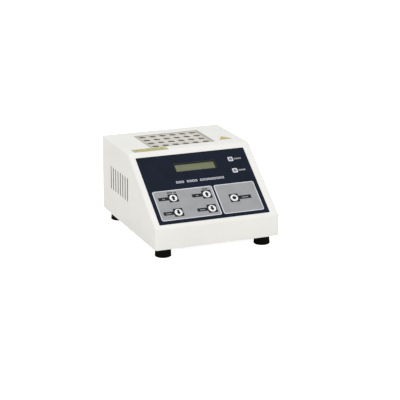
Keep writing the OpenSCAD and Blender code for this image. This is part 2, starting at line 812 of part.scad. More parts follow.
// Barrel with a flange outside the panel, a nut inside it, and two solder tabs
module fuse_holder() {
    color("black") translate([fuse_x, panel_y, rear_z]) difference() {
        union() {
            along_y(0, 0, 0, 2, 8.5);
            along_y(0, -fuse_barrel_l, 0, fuse_barrel_l + 1, fuse_barrel_r);
            along_y(0, -sheet_t - 3, 0, 3, 9.2, 6);
            translate([-tab[0] / 2, -fuse_barrel_l - fuse_tab_l, -tab[1] / 2])
                cube([tab[0], fuse_tab_l + over, tab[1]]);
            translate([fuse_barrel_r - 0.3, fuse_side_tab_y, -tab[0] / 2]) cube([tab[0], tab[1], tab[0]]);
        }
        along_y(0, -fuse_barrel_l + 3, 0, fuse_barrel_l, fuse_bore_r);
        along_y(0, -7, 0, 12, cap_neck_r + 0.08);
    }
}

module fuse_cap() {
    color("black") translate([fuse_x, panel_y, rear_z]) difference() {
        union() {
            along_y(0, -6.8, 0, 9, cap_neck_r);
            along_y(0, 2.1, 0, 5.9, 7);
        }
        along_y(0, -8, 0, 8.2, fuse_r + 0.05);
        translate([0, 8, 0]) cube([10, 3, 1.4], center = true);
        for (a = [0:30:330]) rotate([0, a, 0]) along_y(7.6, 2.9, 0, 8, 1, round);
    }
}

module fuse_link() {
    cap_l = 5.5;
    color("silver") union() {
        along_y(fuse_x, panel_y - fuse_l, rear_z, cap_l, fuse_r);
        along_y(fuse_x, panel_y - cap_l, rear_z, cap_l, fuse_r);
        along_y(fuse_x, panel_y - fuse_l, rear_z, fuse_l, fuse_r - 0.25);
    }
}

// Power electronics

module transformer_core() {
    window = [(core[0] - 2 * core_leg - core_middle) / 2, core[1] + 2 * over, core[2] - 2 * core_leg];
    color("gray") translate([core_at[0], core_at[1], base_top]) difference() {
        translate([-core[0] / 2, -core[1] / 2, 0]) cube(core);
        for (x = [-1, 1]) translate([x * (core_middle + window[0]) / 2, 0, core[2] / 2])
            cube(window, center = true);
    }
}

module transformer_winding() {
    wall = 9.4;
    h = core[2] - 2 * core_leg - 0.4;
    color("darkorange") translate([core_at[0], core_at[1], base_top + core[2] / 2]) difference() {
        cube([core_middle + 2 * wall, core[1] + 2 * wall, h], center = true);
        cube([core_middle + 0.4, core[1] + 0.4, h + 2 * over], center = true);
    }
}

function power_screws_at() =
    let (edge = 4)
    [for (x = [edge, power_board_size[0] - edge], y = [edge, power_board_size[1] - edge])
        [power_board_at[0] + x, power_board_at[1] + y]];

// Board on four threaded posts, with a capacitor, a control relay, a terminal block, a heat sink and a header
module power_board() {
    color("darkgreen") difference() {
        union() {
            translate([power_board_at[0], power_board_at[1], power_board_z])
                cube([power_board_size[0], power_board_size[1], board_t]);
            for (p = power_screws_at())
                translate([p[0], p[1], base_top]) cylinder(h = power_post_h, r = 3, $fn = round);
            translate([power_board_at[0], power_board_at[1], power_top_z]) {
                translate([14, 44, 0]) cylinder(h = 14, r = 6, $fn = fine);
                translate([36, 8, 0]) cube([20, 14, 15]);
                translate([terminals_at[0], terminals_at[1], 0]) cube(terminals_size);
                translate([70, 14, 0]) cube([3, 22, 18]);
                translate([header_at[0], header_at[1], 0]) cube(header_size);
            }
        }
        for (p = power_screws_at())
            translate([p[0], p[1], base_top + 1]) cylinder(h = 20, r = m3_r + thread_play, $fn = round);
    }
}

module power_board_screws() {
    color("silver") for (p = power_screws_at()) screw_down(p, power_top_z, power_post_h, m3_r);
}

module solid_state_relay() {
    step_l = 12;
    back_step = relay_size[1] - step_l;
    color("white") translate([relay_at[0], relay_at[1], base_top]) {
        difference() {
            cube(relay_size);
            for (y = [-over, back_step])
                translate([-over, y, relay_step_z])
                    cube([relay_size[0] + 2 * over, step_l + over, relay_size[2]]);
        }
        for (x = [10, relay_size[0] - 10], y = [step_l / 2, relay_size[1] - step_l / 2])
            translate([x, y, relay_step_z]) cylinder(h = 2.5, r = 4, $fn = round);
    }
}

// Place along the terminal block on the power board
function terminals_x(x) = power_board_at[0] + terminals_at[0] + x;

// Wire's end on top of one of the relay's posts
function relay_post(x, y, r) = [relay_at[0] + x, relay_at[1] + y, relay_post_z + r + 0.1];

module mains_wires() {
    r = 1.2;
    gap = r + 0.1;
    inlet_y = panel_y - inlet_depth - inlet_pin_l - gap;
    switch_y = rocker_y + switch_tab_y[0] - gap;
    fuse_end = [fuse_x, panel_y - fuse_barrel_l - fuse_tab_l - gap, rear_z];
    fuse_side = [fuse_x + fuse_barrel_r + 2.8, panel_y + fuse_side_tab_y - gap, rear_z + 1.6];
    color("saddlebrown") {
        wire([[inlet_x - 7, inlet_y, rear_z - 2], [inlet_x - 20, inlet_y - 6, rear_z - 12],
            [switch_x, switch_y, rear_z - switch_tab_z]], r);
        wire([[switch_x, switch_y, rear_z + switch_tab_z], [4, 64, rear_z + 8], fuse_end], r);
        wire([fuse_side, [4, 80, 39], relay_post(35, 52, r)], r);
        wire([[inlet_x + 7, inlet_y, rear_z - 2], [inlet_x + 2, 60, 27], [terminals_x(20), -18, 38],
            [terminals_x(20), terminals_y, terminals_z + gap]], r);
        wire([[inlet_x, inlet_y, rear_z + 2], [inlet_x + 24, 76, rear_z + 2], [inlet_x + 24, 70, rear_z],
            [inlet_x + 24, 70, base_top + 0.1]], r);
    }
}

module heater_wires() {
    r = 1;
    color("firebrick") {
        wire([[lead_at[0], bay_y - lead_at[1], mat_z - 0.1], [lead_at[0] + 1, bay_y - lead_at[1] - 1, 62],
            relay_post(35, 6, r)], r);
        wire([[lead_at[0], bay_y + lead_at[1], mat_z - 0.1], [lead_at[0] + 1, bay_y + lead_at[1] - 1, 58],
            [8, 20, 52], [terminals_x(4), terminals_y, terminals_z + r + 0.1]], r);
    }
}

// Labels, with no lettering

module caution_label() {
    color("khaki") translate([-90.4, front_y + slope_run + 2, case_top]) cube([56.5, 15.5, label_t]);
}

module hot_surface_label() {
    side = 20.5;
    color("goldenrod") translate([73.4, bay_y - 26.3, case_top]) linear_extrude(height = label_t)
        polygon([for (a = [90, 210, 330]) side / sqrt(3) * [cos(a), sin(a)]]);
}

cover();
base_plate();
rear_panel();
foot(feet_x[0], feet_y[0]);  // foot_front_left
foot(feet_x[1], feet_y[0]);  // foot_front_right
foot(feet_x[0], feet_y[1]);  // foot_rear_left
foot(feet_x[1], feet_y[1]);  // foot_rear_right
foot_screws();
foot_nuts();
base_screws();
panel_screws();
keypad_overlay();
display_board();
display_bezel();
display_glass();
control_board();
board_spacers();
board_screws();
ribbon_cable();
switch_bodies();
key(temp_up_at);  // key_temp_up
key(temp_down_at);  // key_temp_down
key(time_up_at);  // key_time_up
key(time_down_at);  // key_time_down
key(start_at);  // key_start
plunger(temp_up_at);  // plunger_temp_up
plunger(temp_down_at);  // plunger_temp_down
plunger(time_up_at);  // plunger_time_up
plunger(time_down_at);  // plunger_time_down
plunger(start_at);  // plunger_start
lamp(lamp_rows[1], "lightgray");  // power_lamp
lamp(lamp_rows[0], "lightgray");  // heater_lamp
heating_block();
block_tray();
heater_plate();
heater_mat();
clamp_plate();
heater_spacers();
clamp_screws();
temperature_sensor();
thermal_cutout();
insulation_jacket();
tray_posts();
tray_screws();
mains_inlet();
inlet_pins();
switch_housing();
switch_rocker();
fuse_holder();
fuse_cap();
fuse_link();
transformer_core();
transformer_winding();
power_board();
power_board_screws();
solid_state_relay();
mains_wires();
heater_wires();
caution_label();
hot_surface_label();
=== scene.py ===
"""Looks of a dry block heater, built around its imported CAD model.

The enclosure's cover is replaced by a finer shell, the keypad's printing is added as thin plates, every
CAD part gets softened edges, and every surface gets a procedural material. Lengths are in metres, in the
model's frame. Places on the slope are in millimetres: across, up from the front fold, and out of the sheet.
"""

import json
import math

import bmesh
import bpy
from mathutils import Matrix, Vector


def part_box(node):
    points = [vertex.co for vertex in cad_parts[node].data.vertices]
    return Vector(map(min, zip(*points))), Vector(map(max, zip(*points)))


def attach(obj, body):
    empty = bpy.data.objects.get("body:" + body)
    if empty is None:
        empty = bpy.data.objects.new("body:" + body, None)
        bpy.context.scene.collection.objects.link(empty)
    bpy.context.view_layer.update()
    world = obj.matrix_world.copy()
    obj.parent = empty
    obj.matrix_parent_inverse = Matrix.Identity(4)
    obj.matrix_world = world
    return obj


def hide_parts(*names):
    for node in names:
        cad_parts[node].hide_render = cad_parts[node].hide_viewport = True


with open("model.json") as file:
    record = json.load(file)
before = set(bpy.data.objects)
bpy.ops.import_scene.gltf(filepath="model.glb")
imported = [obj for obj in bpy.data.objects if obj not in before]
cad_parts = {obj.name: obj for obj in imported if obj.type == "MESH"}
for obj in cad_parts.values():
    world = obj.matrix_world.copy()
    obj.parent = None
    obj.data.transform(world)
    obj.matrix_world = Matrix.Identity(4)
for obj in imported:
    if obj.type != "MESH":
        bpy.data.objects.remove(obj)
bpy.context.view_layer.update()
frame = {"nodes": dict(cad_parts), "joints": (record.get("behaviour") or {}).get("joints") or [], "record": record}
MM = 0.001
RECORD = frame["record"]
JOINTS = {joint["name"]: joint for joint in frame["joints"]}
KEYS = ("temp_up", "temp_down", "time_up", "time_down", "start")

# Enclosure: folded edge, sheet, and the side slots
EDGE = 3.5 * MM
SHEET = 1.2 * MM
RIM = 10 * MM
PLATE_UNDER_RIM = 1.7 * MM
REAR_RECESS = 11.2 * MM
SLOT = (38 * MM, 3.5 * MM)
SLOT_COUNT = 8
SLOT_PITCH = 10.95 * MM
SLOTS_FROM_REAR = 79.15 * MM
SLOTS_ABOVE_BASE = 61.5 * MM
BAY_GAP = 1 * MM
DISPLAY_CUT = (68.5, 16.7)
LINING = 0.85
KEY_HOLE = 6.25
COVER_ROUNDING = 0.22 * MM
SLOPE_SHIFT = -1.4 * MM


# Places on the slope

def slope_matrix():
    """Matrix from slope millimetres to the model's frame, found from the overlay and a key's direction."""
    out = -Vector(JOINTS["key_start_press"]["axis"])
    up = Vector((0, out.z, -out.y))
    sheet = min(vertex.co.dot(out) for vertex in frame["nodes"]["keypad_overlay"].data.vertices)
    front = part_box("cover")[0].y
    fold = Vector((SLOPE_SHIFT, front, (sheet - front * out.y) / out.z))
    turn = Matrix((Vector((1, 0, 0)), up, out)).transposed().to_4x4()
    return Matrix.Translation(fold) @ turn @ Matrix.Scale(MM, 4)


SLOPE = slope_matrix()


def span(node):
    """Lowest and highest corner of a CAD node on the slope, in slope millimetres."""
    back = SLOPE.inverted()
    points = [back @ vertex.co for vertex in frame["nodes"][node].data.vertices]
    return (Vector([min(p[i] for p in points) for i in range(3)]),
            Vector([max(p[i] for p in points) for i in range(3)]))


def middle(node):
    low, high = span(node)
    return ((low.x + high.x) / 2, (low.y + high.y) / 2)


# Outlines: closed loops of two-dimensional points

def rectangle(low_x, low_y, high_x, high_y):
    return [(low_x, low_y), (high_x, low_y), (high_x, high_y), (low_x, high_y)]


def arc(centre, radius, start, end, steps):
    """Points along an arc, with the angles in degrees."""
    points = []
    for i in range(steps + 1):
        angle = math.radians(start + (end - start) * i / steps)
        points.append((centre[0] + radius * math.cos(angle), centre[1] + radius * math.sin(angle)))
    return points


def circle(centre, radius, steps=64):
    return arc(centre, radius, 0, 360, steps)[:-1]


def rounded(low_x, low_y, high_x, high_y, radius, steps=8):
    corners = [((high_x - radius, high_y - radius), 0), ((low_x + radius, high_y - radius), 90),
               ((low_x + radius, low_y + radius), 180), ((high_x - radius, low_y + radius), 270)]
    return [point for centre, start in corners for point in arc(centre, radius, start, start + 90, steps)]


def rounded_about(centre, width, height, radius, steps=8):
    return rounded(centre[0] - width / 2, centre[1] - height / 2, centre[0] + width / 2,
                   centre[1] + height / 2, radius, steps)


# Mesh helpers

WELD_DISTANCE = 0.002 * MM
FLAT_WITHIN = math.radians(0.6)
SHARP_FROM = math.radians(38)


def add_prism(bm, outline, low, high, matrix=Matrix.Identity(4)):
    """Adds a closed prism: the outline in the local XY plane, from low to high along local Z."""
    rings = [[bm.verts.new(matrix @ Vector((x, y, z))) for x, y in outline] for z in (low, high)]
    bm.faces.new(rings[0][::-1])
    bm.faces.new(rings[1])
    for i in range(len(outline)):
        j = (i + 1) % len(outline)
        bm.faces.new((rings[0][i], rings[0][j], rings[1][j], rings[1][i]))


def to_object(bm, name):
    """Turns a bmesh into an object in the scene, with its faces pointing outwards."""
    bmesh.ops.recalc_face_normals(bm, faces=bm.faces)
    mesh = bpy.data.meshes.new(name)
    bm.to_mesh(mesh)
    bm.free()
    made = bpy.data.objects.new(name, mesh)
    bpy.context.scene.collection.objects.link(made)
    return made


def combine(target, tool, operation):
    """Applies an exact boolean to the target and deletes the tool."""
    step = target.modifiers.new("boolean", "BOOLEAN")
    step.operation = operation
    step.solver = "EXACT"
    step.object = tool
    graph = bpy.context.evaluated_depsgraph_get()
    mesh = bpy.data.meshes.new_from_object(target.evaluated_get(graph))
    target.modifiers.clear()
    target.data = mesh
    bpy.data.objects.remove(tool)


def soften(obj, width, merge=True):
    """Rounds an object's sharp edges and smooths its shading, without touching its own mesh points. Merging
    flat faces first keeps slivers from stopping the rounding."""
    weld = obj.modifiers.new("weld", "WELD")
    weld.merge_threshold = WELD_DISTANCE
    if merge:
        flatten = obj.modifiers.new("flatten", "DECIMATE")
        flatten.decimate_type = "DISSOLVE"
        flatten.angle_limit = FLAT_WITHIN
    edges = obj.modifiers.new("edges", "BEVEL")
    edges.width = width
    edges.segments = 2
    edges.limit_method = "ANGLE"
    edges.angle_limit = SHARP_FROM
    edges.use_clamp_overlap = True
    edges.miter_outer = "MITER_ARC"
    normals = obj.modifiers.new("normals", "WEIGHTED_NORMAL")
    normals.keep_sharp = True
    obj.data.polygons.foreach_set("use_smooth", [True] * len(obj.data.polygons))
    if "custom_normal" in obj.data.attributes:
        obj.data.attributes.remove(obj.data.attributes["custom_normal"])


def finish_piece(obj, body, slot, *nodes):
    """Gives a new piece the material of a slot, parents it to its body's empty, and hides the given CAD nodes."""
    obj.data.materials.clear()
    obj.data.materials.append(FINISHES[slot])
    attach(obj, body)
    if nodes:
        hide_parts(*nodes)


# Shaders

def tint(red, green, blue):
    """Linear colour from 8-bit sRGB values."""
    shares = [value / 255 for value in (red, green, blue)]
    return (*[s / 12.92 if s <= 0.04 else ((s + 0.055) / 1.055) ** 2.4 for s in shares], 1.0)


class Shader:
    """Builds one material. Each method adds nodes and returns the socket that holds the result."""

    def __init__(self, name):
        self.material = bpy.data.materials.new(name)
        self.material.use_nodes = True
        self.tree = self.material.node_tree
        self.surface = self.tree.nodes["Principled BSDF"]
        self.place = self.node("ShaderNodeTexCoord").outputs["Object"]
        self.normal = None

    def node(self, kind, inputs=None, **settings):
        made = self.tree.nodes.new(kind)
        for name, value in settings.items():
            setattr(made, name, value)
        for name, value in (inputs or {}).items():
            if isinstance(value, bpy.types.NodeSocket):
                self.tree.links.new(value, made.inputs[name])
            else:
                made.inputs[name].default_value = value
        return made

    def set(self, name, value):
        if isinstance(value, bpy.types.NodeSocket):
            self.tree.links.new(value, self.surface.inputs[name])
        else:
            self.surface.inputs[name].default_value = value

    def stretched(self, x, y, z, turn=(0, 0, 0), place=None):
        """Coordinates scaled along each axis, after a turn in radians."""
        made = self.node("ShaderNodeMapping", {"Vector": place or self.place, "Scale": (x, y, z),
                                               "Rotation": turn})
        return made.outputs["Vector"]

    def noise(self, size, detail=2.0, place=None, rough=0.5):
        """Noise from 0 to 1 whose patches are about size metres across."""
        made = self.node("ShaderNodeTexNoise", {"Vector": place or self.place, "Scale": 1 / size,
                                                "Detail": detail, "Roughness": rough})
        return made.outputs["Fac"]

    def cells(self, size, feature="F1"):
        """Distance to the nearest of scattered points that are about size metres apart."""
        made = self.node("ShaderNodeTexVoronoi", {"Vector": self.place, "Scale": 1 / size}, feature=feature)
        return made.outputs["Distance"]

    def bands(self, size, direction="X", kind="BANDS", wobble=0.0, place=None):
        """Waves from 0 to 1, size metres apart. The wave texture repeats every pi / 10 units."""
        settings = {"wave_type": kind, "wave_profile": "SIN"}
        settings["bands_direction" if kind == "BANDS" else "rings_direction"] = direction
        made = self.node("ShaderNodeTexWave", {"Vector": place or self.place, "Scale": math.pi / 10 / size,
                                               "Distortion": wobble, "Detail": 1.0}, **settings)
        return made.outputs["Fac"]

    def span(self, value, low, high, start=0.0, end=1.0):
        """Maps start..end of a value to low..high."""
        made = self.node("ShaderNodeMapRange", {"Value": value, "From Min": start, "From Max": end,
                                                "To Min": low, "To Max": high})
        return made.outputs["Result"]

    def blend(self, share, first, second, mode="MIX"):
        made = self.tree.nodes.new("ShaderNodeMix")
        made.data_type = "RGBA"
        made.blend_type = mode
        for index, value in ((0, share), (6, first), (7, second)):
            if isinstance(value, bpy.types.NodeSocket):
                self.tree.links.new(value, made.inputs[index])
            else:
                made.inputs[index].default_value = value
        return made.outputs[2]

    def calc(self, first, second, operation="ADD"):
        made = self.tree.nodes.new("ShaderNodeMath")
        made.operation = operation
        for index, value in enumerate((first, second)):
            if isinstance(value, bpy.types.NodeSocket):
                self.tree.links.new(value, made.inputs[index])
            else:
                made.inputs[index].default_value = value
        return made.outputs[0]

    def within(self, value, low, high):
        """1 where the value lies between low and high, otherwise 0."""
        above = self.calc(value, low, "GREATER_THAN")
        return self.calc(above, self.calc(value, high, "LESS_THAN"), "MULTIPLY")

    def offset(self, centre):
        """Coordinates x, y and z measured from a point."""
        moved = self.node("ShaderNodeVectorMath", {0: self.place, 1: centre}, operation="SUBTRACT")
        return self.node("ShaderNodeSeparateXYZ", {0: moved.outputs["Vector"]}).outputs

    def past_sides(self, centre, sides, width):
        """Distance beyond an outline that is shrunk by width. Its sides are (direction, reach) pairs."""
        x, y = self.offset(centre)[:2]
        nearest = -1.0
        for degrees, reach in sides:
            angle = math.radians(degrees)
            along = self.calc(self.calc(x, math.cos(angle), "MULTIPLY"),
                              self.calc(y, math.sin(angle), "MULTIPLY"))
            nearest = self.calc(self.calc(along, reach - width, "SUBTRACT"), nearest, "MAXIMUM")
        return nearest

    def bump(self, height, depth):
        """Adds relief: a height of 0 to 1 stands for 0 to depth metres."""
        inputs = {"Height": height, "Distance": depth, "Strength": 1.0}
        if self.normal:
            inputs["Normal"] = self.normal
        self.normal = self.node("ShaderNodeBump", inputs).outputs["Normal"]
        self.tree.links.new(self.normal, self.surface.inputs["Normal"])

    def base(self, light, dark, patch, rough, grain, depth, metallic=0.0, gloss=0.5):
        """Common start: colour and roughness that vary in patches, and a fine grain in relief."""
        self.set("Specular IOR Level", gloss)
        patches = self.noise(patch, 3.0)
        self.colour = self.blend(self.span(patches, 0, 1, 0.3, 0.7), dark, light)
        self.set("Base Color", self.colour)
        self.set("Roughness", self.span(self.noise(patch / 3, 4.0), rough[0], rough[1], 0.3, 0.7))
        self.set("Metallic", metallic)
        self.bump(self.noise(grain, 2.0), depth)


def footprint(node):
    """Centre of a CAD node's box, and its four sides as (direction, reach) pairs."""
    low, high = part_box(node)
    half = (high - low) / 2
    return (low + high) / 2, ((0, half.x), (90, half.y), (180, half.x), (270, half.y))


def white_coat(name):
    """Powder coat: warm white, with an orange-peel skin over fine grit."""
    shader = Shader(name)
    shader.base(tint(235, 234, 230), tint(230, 229, 224), 60 * MM, (0.34, 0.46), 1.6 * MM, 0.012 * MM)
    shader.bump(shader.noise(0.35 * MM, 3.0), 0.003 * MM)
    low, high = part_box("cover")
    # Painted shade inside the side slots: within the slots' band, the coat darkens to brown-grey from 0.1 to 0.5
    # mm in from the side faces
    x, y, z = shader.offset((0, high.y - SLOTS_FROM_REAR, low.z + SLOTS_ABOVE_BASE))
    slots = shader.calc(shader.within(y, -SLOT_COUNT / 2 * SLOT_PITCH, SLOT_COUNT / 2 * SLOT_PITCH),
                        shader.within(z, -0.55 * SLOT[0], 0.55 * SLOT[0]), "MULTIPLY")
    depth = shader.calc(high.x, shader.calc(x, 0.0, "ABSOLUTE"), "SUBTRACT")
    dust_and_painted_shade = shader.calc(slots, shader.span(depth, 0.0, 0.94, 0.1 * MM, 0.5 * MM), "MULTIPLY")
    shader.set("Base Color", shader.blend(dust_and_painted_shade, shader.colour, tint(62, 58, 52)))
    return shader.material


def plated_sheet(name):
    """Zinc-plated sheet, rolled along Y."""
    shader = Shader(name)
    shader.base(tint(196, 198, 200), tint(176, 178, 182), 30 * MM, (0.30, 0.45), 2 * MM, 0.004 * MM, 1.0)
    rolled = shader.noise(1.0, 3.0, shader.stretched(1500, 40, 1500))
    shader.bump(rolled, 0.006 * MM)
    spangle = shader.cells(7 * MM)
    crystals = shader.span(spangle, 0.0, 0.25)
    shader.set("Base Color", shader.blend(crystals, shader.colour, tint(150, 153, 158)))
    return shader.material


def bay_sheet(name):
    """Heat-resistant lining of the bay, brushed upwards and slightly browned."""
    shader = Shader(name)
    shader.base(tint(196, 191, 170), tint(172, 165, 140), 12 * MM, (0.42, 0.6), 1 * MM, 0.004 * MM, 0.35)
    brushed = shader.noise(1.0, 3.0, shader.stretched(1800, 1800, 60))
    shader.bump(brushed, 0.01 * MM)
    return shader.material


def black_rubber(name):
    """Moulded rubber with a dull bloom and dust on its pores."""
    shader = Shader(name)
    shader.base(tint(12, 12, 9), tint(7, 7, 5), 6 * MM, (0.62, 0.85), 0.5 * MM, 0.03 * MM, gloss=0.06)
    dust_and_painted_shade = shader.span(shader.noise(0.25 * MM, 4.0), 0.0, 0.12, 0.62, 0.8)
    shader.set("Base Color", shader.blend(dust_and_painted_shade, shader.colour, tint(60, 59, 56)))
    return shader.material


def metal(name, light, dark, rough):
    """Plated or turned metal with a directional brush."""
    shader = Shader(name)
    shader.base(light, dark, 5 * MM, rough, 0.4 * MM, 0.002 * MM, 1.0)
    shader.bump(shader.noise(1.0, 3.0, shader.stretched(900, 900, 90)), 0.004 * MM)
    return shader.material


def block_aluminium(name):
    """Machined aluminium: milled faces with tool arcs, and reamed walls with fine rings."""
    shader = Shader(name)
    shader.base(tint(229, 226, 219), tint(207, 203, 193), 9 * MM, (0.34, 0.46), 0.6 * MM, 0.004 * MM, 0.8)
    facing = shader.node("ShaderNodeSeparateXYZ", {
        0: shader.node("ShaderNodeNewGeometry").outputs["True Normal"]}).outputs[2]
    level = shader.span(shader.calc(facing, 0.0, "ABSOLUTE"), 0.0, 1.0, 0.3, 0.7)
    rough = shader.span(shader.noise(5 * MM, 4.0), 0.32, 0.46, 0.3, 0.7)
    shader.set("Roughness", shader.calc(rough, shader.span(level, 0.7, 1.0), "MULTIPLY"))
    # Painted shade: upward faces darken towards khaki over the last 9 mm before the block's sides, next to the
    # cover's opening
    edge = shader.past_sides(*footprint("heating_block"), 6 * MM)
    upward = shader.span(facing, 0.0, 1.0, 0.4, 0.9)
    painted_edge_shade = shader.calc(shader.span(edge, 0.0, 0.7, -3 * MM, 6 * MM), upward, "MULTIPLY")
    shader.set("Base Color", shader.blend(painted_edge_shade, shader.colour, tint(168, 158, 134)))
    swept = shader.node("ShaderNodeMapping", {"Vector": shader.place, "Location": (0.4, 0.0, 0.0)})
    arcs = shader.bands(0.9 * MM, "Z", "RINGS", wobble=0.6, place=swept.outputs["Vector"])
    shader.bump(arcs, 0.004 * MM)
    rings = shader.bands(0.5 * MM, "Z", wobble=0.4)
    shader.bump(rings, 0.004 * MM)
    return shader.material


def navy_film(name):
    """Polyester overlay film with a fine matt texture."""
    shader = Shader(name)
    shader.base(tint(11, 23, 41), tint(8, 18, 34), 25 * MM, (0.45, 0.6), 0.3 * MM, 0.006 * MM, gloss=0.12)
    shader.bump(shader.cells(0.22 * MM, "SMOOTH_F1"), 0.004 * MM)
    return shader.material


def ink(name, light, dark):
    """Screen-printed ink on textured film."""
    shader = Shader(name)
    shader.base(light, dark, 18 * MM, (0.45, 0.58), 0.3 * MM, 0.006 * MM, gloss=0.2)
    speckle = shader.span(shader.noise(0.18 * MM, 2.0), 0.0, 0.12, 0.45, 0.75)
    shader.set("Base Color", shader.blend(speckle, shader.colour, dark))
    return shader.material


def moulded(name, light, dark, rough, grain=0.45 * MM, depth=0.012 * MM):
    """Moulded plastic with a spark-eroded texture."""
    shader = Shader(name)
    shader.base(light, dark, 9 * MM, rough, grain, depth)
    shader.bump(shader.cells(grain, "SMOOTH_F1"), depth / 3)
    return shader.material


CELL = (3.55 * MM, 5.95 * MM)
CELL_COUNT = (16, 2)


def display_green(name):
    """Reflective display glass: olive, with the faint grid of two rows of character cells."""
    shader = Shader(name)
    shader.base(tint(120, 125, 94), tint(106, 111, 82), 30 * MM, (0.12, 0.2), 1 * MM, 0.0005 * MM, gloss=0.3)
    centre = SLOPE @ Vector((*middle("display_glass"), 0))
    moved = shader.node("ShaderNodeVectorMath", {0: shader.place, 1: centre}, operation="SUBTRACT")
    angle = math.atan2(SLOPE[2][1], SLOPE[1][1])
    local = shader.stretched(1, 1, 1, (-angle, 0, 0), moved.outputs["Vector"])
    corner = (-CELL[0] * CELL_COUNT[0] / 2, -CELL[1] * CELL_COUNT[1] / 2, 0)
    low = shader.node("ShaderNodeVectorMath", {0: local, 1: corner}, operation="SUBTRACT")
    grid = shader.node("ShaderNodeTexBrick", {
        "Vector": low.outputs["Vector"], "Scale": 1.0, "Mortar Size": 0.3 * MM, "Mortar Smooth": 0.2,
        "Brick Width": CELL[0], "Row Height": CELL[1]}, offset=0.0, squash=1.0)
    x, y = shader.node("ShaderNodeSeparateXYZ", {0: low.outputs["Vector"]}).outputs[:2]
    inside = shader.calc(shader.within(x, 0.0, CELL[0] * CELL_COUNT[0]),
                         shader.within(y, 0.0, CELL[1] * CELL_COUNT[1]), "MULTIPLY")
    cell = shader.calc(inside, shader.span(grid.outputs["Fac"], 0.16, 0.0), "MULTIPLY")
    shader.set("Base Color", shader.blend(cell, shader.colour, tint(70, 78, 48)))
    shader.set("Coat Weight", 0.15)
    shader.set("Coat Roughness", 0.1)
    return shader.material


def board_green(name):
    """Circuit board: solder mask over raised copper tracks and pads."""
    shader = Shader(name)
    shader.base(tint(30, 96, 58), tint(22, 78, 46), 20 * MM, (0.28, 0.4), 0.6 * MM, 0.003 * MM)
    tracks = shader.node("ShaderNodeTexBrick", {
        "Vector": shader.place, "Scale": 1.0, "Mortar Size": 0.28 * MM, "Mortar Smooth": 0.1,
        "Brick Width": 9 * MM, "Row Height": 2.4 * MM}, offset=0.37, squash=1.0)
    pads = shader.span(shader.cells(3.4 * MM), 1.0, 0.0, 0.10, 0.14)
    shader.set("Base Color", shader.blend(pads, shader.blend(shader.span(tracks.outputs["Fac"], 0.0, 0.6),
                                                             shader.colour, tint(58, 138, 84)),
                                          tint(190, 188, 180)))
    shader.bump(tracks.outputs["Fac"], 0.03 * MM)
    shader.set("Coat Weight", 0.3)
    return shader.material


def ribbed(name, light, dark, pitch, direction, rough, depth=0.08 * MM, metallic=0.0):
    """Material laid in parallel ribs, such as ribbon cable, laminated core or wound tape."""
    shader = Shader(name)
    shader.base(light, dark, 8 * MM, rough, 0.5 * MM, 0.004 * MM, metallic)
    ribs = shader.bands(pitch, direction)
    shader.set("Base Color", shader.blend(shader.span(ribs, 0.45, 0.0, 0.0, 0.35), shader.colour, dark))
    shader.bump(ribs, depth)
    return shader.material


def lamp_lens(name):
    """Frosted lens that lets a little light in."""
    shader = Shader(name)
    shader.base(tint(132, 132, 134), tint(112, 112, 114), 5 * MM, (0.3, 0.42), 0.25 * MM, 0.01 * MM)
    facets = shader.calc(shader.bands(0.8 * MM, "X"), shader.bands(0.8 * MM, "Y"), "MULTIPLY")
    shader.bump(facets, 0.05 * MM)
    shader.set("Transmission Weight", 0.15)
    shader.set("Coat Weight", 0.3)
    return shader.material


def heater_silicone(name):
    """Silicone mat moulded round a glass-fibre weave."""
    shader = Shader(name)
    shader.base(tint(196, 92, 54), tint(172, 74, 42), 12 * MM, (0.55, 0.7), 0.5 * MM, 0.01 * MM)
    weave = shader.calc(shader.bands(0.9 * MM, "X"), shader.bands(0.9 * MM, "Y"), "MULTIPLY")
    shader.bump(weave, 0.08 * MM)
    return shader.material


def mineral_wool(name):
    """Matted fibres, felted in layers."""
    shader = Shader(name)
    shader.base(tint(204, 192, 150), tint(172, 158, 114), 10 * MM, (0.85, 0.97), 1.5 * MM, 0.3 * MM)
    fibres = shader.noise(1.0, 5.0, shader.stretched(350, 350, 2200), 0.7)
    shader.set("Base Color", shader.blend(shader.span(fibres, 0.0, 0.6, 0.4, 0.7), shader.colour,
                                          tint(132, 118, 80)))
    shader.bump(fibres, 0.4 * MM)
    shader.set("Sheen Weight", 0.4)
    return shader.material


def label_film(name, light, dark, print_colour, centre, sides, marks):
    """Coloured label film with a printed border and marks, whose share is given by a function."""
    shader = Shader(name)
    shader.base(light, dark, 7 * MM, (0.4, 0.52), 0.5 * MM, 0.004 * MM)
    edge = shader.calc(shader.past_sides(centre, sides, 1.1 * MM), 0.0, "GREATER_THAN")
    printed = shader.calc(edge, marks(shader, *shader.offset(centre)[:2]), "MAXIMUM")
    worn = shader.span(shader.noise(3 * MM, 3.0), 0.6, 0.95, 0.35, 0.65)
    share = shader.calc(printed, worn, "MULTIPLY")
    shader.set("Base Color", shader.blend(share, shader.colour, print_colour))
    return shader.material


def text_rows(shader, x, y):
    """Rows of broken dashes, such as small print seen from afar."""
    rows = shader.calc(shader.bands(3.6 * MM, "Y"), 0.62, "GREATER_THAN")
    dashes = shader.calc(shader.noise(1.0, 1.0, shader.stretched(420, 30, 1)), 0.46, "GREATER_THAN")
    wide = shader.within(x, -17 * MM, 24 * MM)
    lines = shader.calc(shader.calc(rows, dashes, "MULTIPLY"), wide, "MULTIPLY")
    text = shader.calc(lines, shader.within(y, -5.6 * MM, 5.6 * MM), "MULTIPLY")
    square = shader.calc(shader.within(x, -25 * MM, -19 * MM), shader.within(y, -3 * MM, 3 * MM), "MULTIPLY")
    return shader.calc(text, square, "MAXIMUM")


